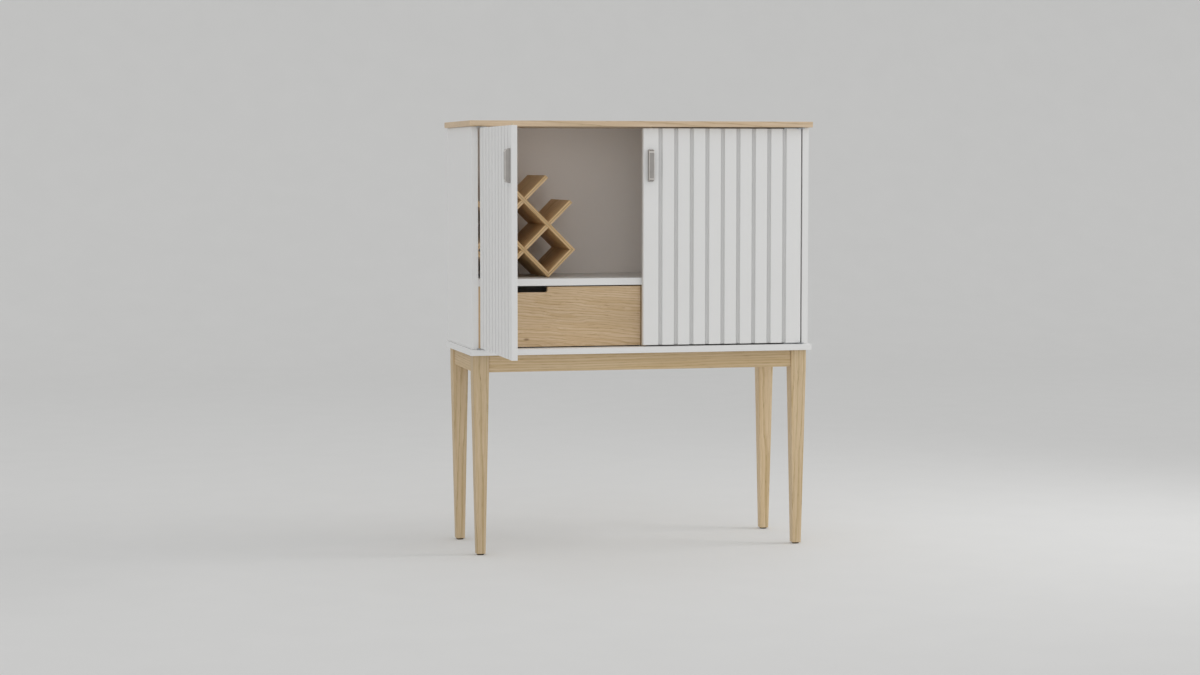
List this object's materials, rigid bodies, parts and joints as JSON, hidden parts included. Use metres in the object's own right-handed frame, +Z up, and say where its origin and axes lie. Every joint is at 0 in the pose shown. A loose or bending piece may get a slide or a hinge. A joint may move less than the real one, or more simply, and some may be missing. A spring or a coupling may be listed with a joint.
{
  "type": "bar cabinet",
  "caption": "White bar cabinet on tapered oak legs, with grooved doors, an oak top, a wine rack on the shelf and a drawer below it.",
  "frame": {"origin": "on the floor, under the middle of the bounding box of the object at rest, with the left door standing open", "axes": "+Z up, the doors face -Y, +X to the right as seen from the front"},
  "size_m": [1, 0.8528, 1.22],
  "materials": {
    "white_lacquer": "satin white lacquer on fibreboard",
    "back_board": "matt light board",
    "oak_veneer": "matt lacquered oak veneer",
    "oak_solid": "matt lacquered solid oak",
    "satin_nickel": "satin nickel plate",
    "zinc_steel": "zinc plated",
    "brass": "satin",
    "black_plastic": "moulded"
  },
  "bodies": {
    "cabinet": {"top_panel": "oak_veneer", "bottom_panel": "white_lacquer", "left_side_panel": "white_lacquer", "right_side_panel": "white_lacquer", "back_panel": "back_board", "middle_shelf": "white_lacquer", "drawer_packer": "oak_veneer", "drawer_divider": "oak_veneer", "front_left_leg": "oak_solid", "front_right_leg": "oak_solid", "rear_left_leg": "oak_solid", "rear_right_leg": "oak_solid", "front_rail": "oak_solid", "rear_rail": "oak_solid", "left_rail": "oak_solid", "right_rail": "oak_solid", "front_left_corner_block": "oak_solid", "front_right_corner_block": "oak_solid", "rear_left_corner_block": "oak_solid", "rear_right_corner_block": "oak_solid", "front_left_glide": "black_plastic", "front_right_glide": "black_plastic", "rear_left_glide": "black_plastic", "rear_right_glide": "black_plastic", "left_top_pivot_plate": "zinc_steel", "left_bottom_pivot_plate": "zinc_steel", "right_top_pivot_plate": "zinc_steel", "right_bottom_pivot_plate": "zinc_steel", "left_strike": "brass", "right_strike": "brass", "left_fixed_runner": "zinc_steel", "right_fixed_runner": "zinc_steel", "rack_board_top_to_right": "oak_veneer", "rack_board_left_to_foot": "oak_veneer", "rack_board_left_foot": "oak_veneer", "rack_board_top_to_left": "oak_veneer", "rack_board_right_to_foot": "oak_veneer", "rack_board_right_foot": "oak_veneer"},
    "left_door": {"left_door_panel": "white_lacquer", "left_door_pull": "satin_nickel", "left_top_door_plate": "zinc_steel", "left_bottom_door_plate": "zinc_steel", "left_catch_barrel": "brass"},
    "right_door": {"right_door_panel": "white_lacquer", "right_door_pull": "satin_nickel", "right_top_door_plate": "zinc_steel", "right_bottom_door_plate": "zinc_steel", "right_catch_barrel": "brass"},
    "left_catch": {"left_catch_bullet": "brass"},
    "right_catch": {"right_catch_bullet": "brass"},
    "drawer": {"drawer_front": "oak_veneer", "drawer_left_side": "oak_solid", "drawer_right_side": "oak_solid", "drawer_back": "oak_solid", "drawer_bottom": "oak_veneer", "left_drawer_runner": "zinc_steel", "right_drawer_runner": "zinc_steel"},
    "middle_runners": {"left_middle_runner": "zinc_steel", "right_middle_runner": "zinc_steel"}
  },
  "joints": [
    {"name": "left_door_hinge", "type": "hinge", "parent": "cabinet", "child": "left_door", "pos_m": [-0.475, 0.04739, 0.893], "axis": [0, 0, -1], "range_deg": [-91, 19]},
    {"name": "right_door_hinge", "type": "hinge", "parent": "cabinet", "child": "right_door", "pos_m": [0.475, 0.04739, 0.893], "axis": [0, 0, 1], "range_deg": [0, 110]},
    {"name": "drawer_slide", "type": "slide", "parent": "cabinet", "child": "drawer", "axis": [0, -1, 0], "range_m": [0, 0.28]},
    {"name": "middle_runner_slide", "type": "slide", "parent": "cabinet", "child": "middle_runners", "axis": [0, -1, 0], "range_m": [0, 0.14]},
    {"name": "left_catch_travel", "type": "slide", "parent": "left_door", "child": "left_catch", "axis": [0, 0, -1], "range_m": [0, 0.003], "stiffness_N_per_m": 400},
    {"name": "right_catch_travel", "type": "slide", "parent": "right_door", "child": "right_catch", "axis": [0, 0, -1], "range_m": [0, 0.003], "stiffness_N_per_m": 400}
  ],
  "couplings": [
    {"joint": "middle_runner_slide", "follows": "drawer_slide", "ratio": 0.5}
  ]
}
